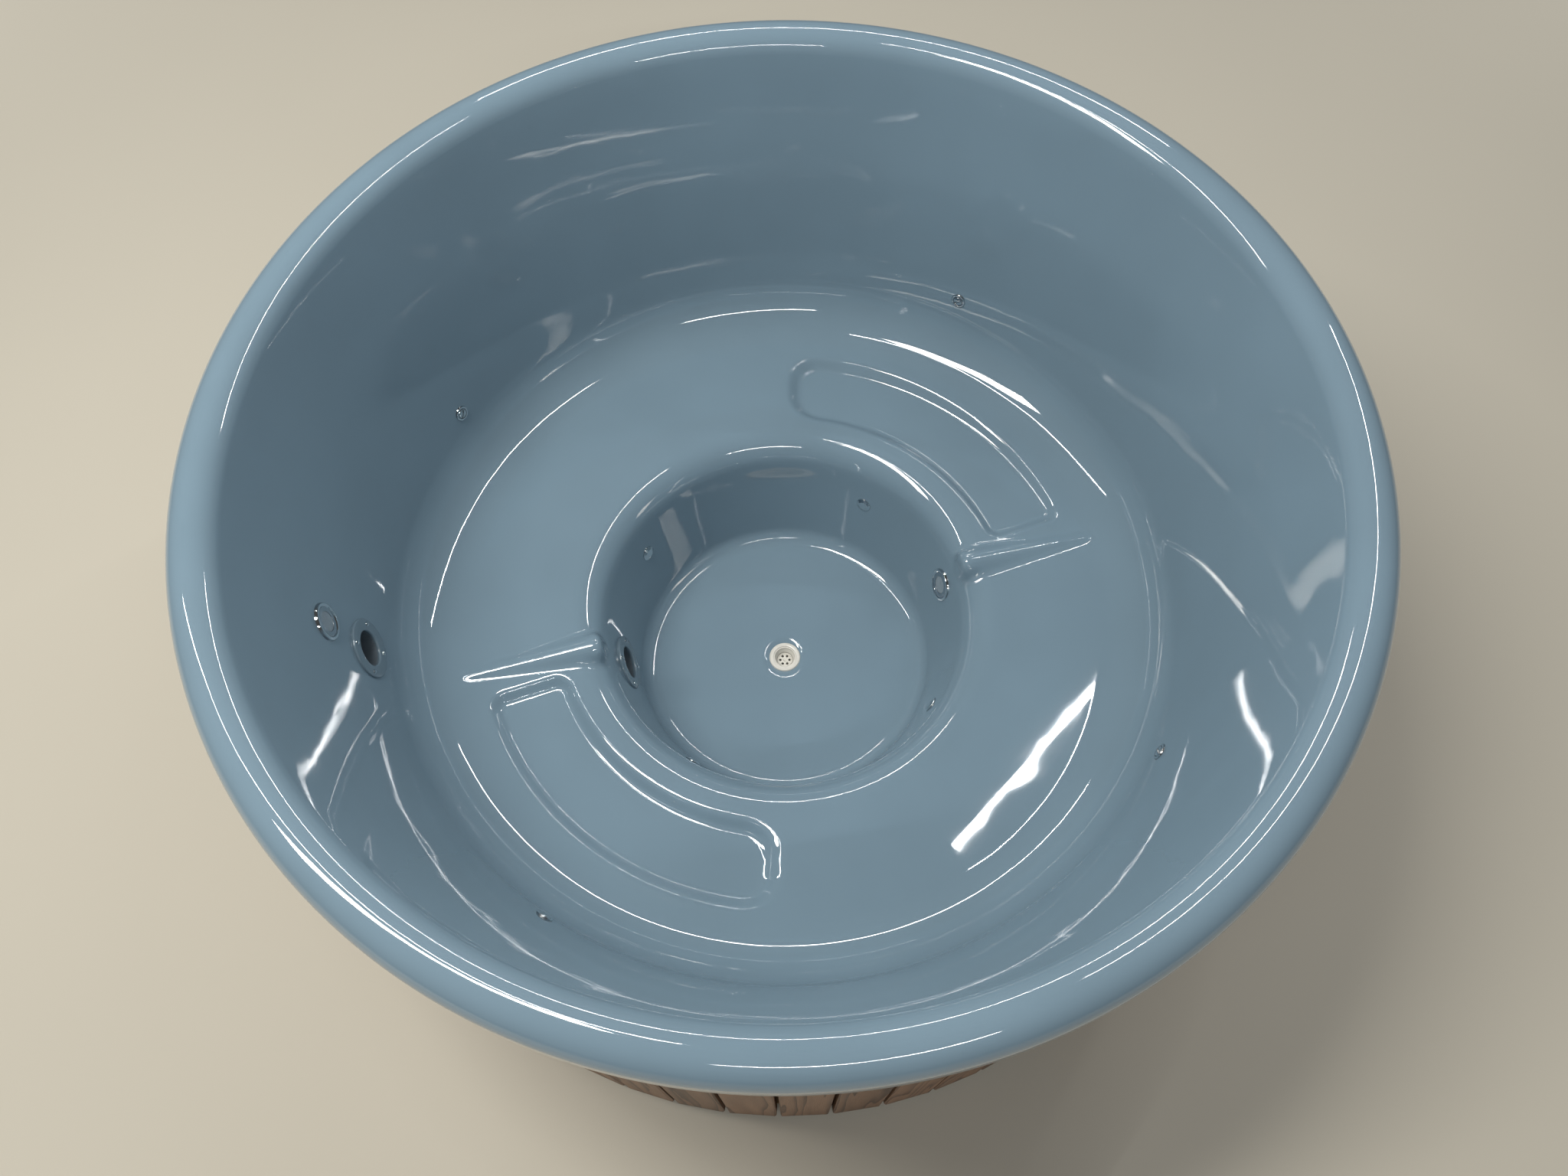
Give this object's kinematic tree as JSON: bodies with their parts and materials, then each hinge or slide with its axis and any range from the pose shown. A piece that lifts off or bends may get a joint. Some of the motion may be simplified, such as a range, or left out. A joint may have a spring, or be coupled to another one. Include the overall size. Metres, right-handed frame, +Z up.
{
  "type": "round hot tub",
  "caption": "Round hot tub: moulded liner with ring bench and footwell, clad in upright wooden boards, with lights, air jets, heater ports and a drain tap.",
  "frame": {"origin": "on the ground under the drain, which is the centre of the round rim", "axes": "+Z up; +X to the right and +Y away from the viewer, with the heater ports to the left on the -X side"},
  "size_m": [1.9998, 1.9998, 1.012],
  "materials": {
    "gelcoat": "glossy blue-grey gelcoat over glass-fibre laminate",
    "flange_plastic": "gloss, coloured like the liner",
    "cladding": "brown heat-treated softwood, oiled",
    "timber": "planed pine",
    "plywood": "exterior plywood",
    "rubber": "matt",
    "white_plastic": "white PVC",
    "dark_plastic": "dark grey PVC",
    "chrome": "polished chrome plate",
    "lamp": "clear lens over a grey housing",
    "steel": "stamped stainless steel"
  },
  "bodies": {
    "tub": {"tub_liner": "gelcoat", "cladding_boards": "cladding", "hoop_base": "plywood", "hoop_middle": "plywood", "hoop_upper": "plywood", "studs_lower": "timber", "studs_upper": "timber", "joist_1": "timber", "joist_2": "timber", "joist_3": "timber", "joist_4": "timber", "foot_pads": "rubber", "bench_post_1": "timber", "bench_post_2": "timber", "bench_post_3": "timber", "bench_post_4": "timber", "floor_board": "plywood", "drain_run": "white_plastic", "drain_strainer": "white_plastic", "drain_locknut": "white_plastic", "heater_flanges": "flange_plastic", "flange_back_rings": "dark_plastic", "heater_pipes": "dark_plastic", "light_bezels": "chrome", "light_lamps": "lamp", "light_nuts": "dark_plastic", "wall_jets": "chrome", "well_jets": "chrome", "jet_nuts": "dark_plastic"},
    "nozzle_1": {"jet_nozzle_1": "chrome"},
    "nozzle_2": {"jet_nozzle_2": "chrome"},
    "nozzle_3": {"jet_nozzle_3": "chrome"},
    "nozzle_4": {"jet_nozzle_4": "chrome"},
    "drain_tap": {"tap_lever": "steel"}
  },
  "joints": [
    {"name": "nozzle_1_turn", "type": "hinge", "parent": "tub", "child": "nozzle_1", "pos_m": [0.40111, 0.68368, 0.5], "axis": [-0.491, -0.8369, 0.2419], "range_deg": [0, 90]},
    {"name": "nozzle_2_turn", "type": "hinge", "parent": "tub", "child": "nozzle_2", "pos_m": [-0.68298, 0.40231, 0.5], "axis": [0.836, -0.4925, 0.2419], "range_deg": [0, 90]},
    {"name": "nozzle_3_turn", "type": "hinge", "parent": "tub", "child": "nozzle_3", "pos_m": [-0.43055, -0.66553, 0.5], "axis": [0.527, 0.8147, 0.2419], "range_deg": [0, 90]},
    {"name": "nozzle_4_turn", "type": "hinge", "parent": "tub", "child": "nozzle_4", "pos_m": [0.69528, -0.38066, 0.5], "axis": [-0.8511, 0.466, 0.2419], "range_deg": [0, 90]},
    {"name": "drain_tap_turn", "type": "hinge", "parent": "tub", "child": "drain_tap", "pos_m": [-0.71984, 0.71984, 0.028], "axis": [0, 0, 1], "range_deg": [0, 90]}
  ]
}
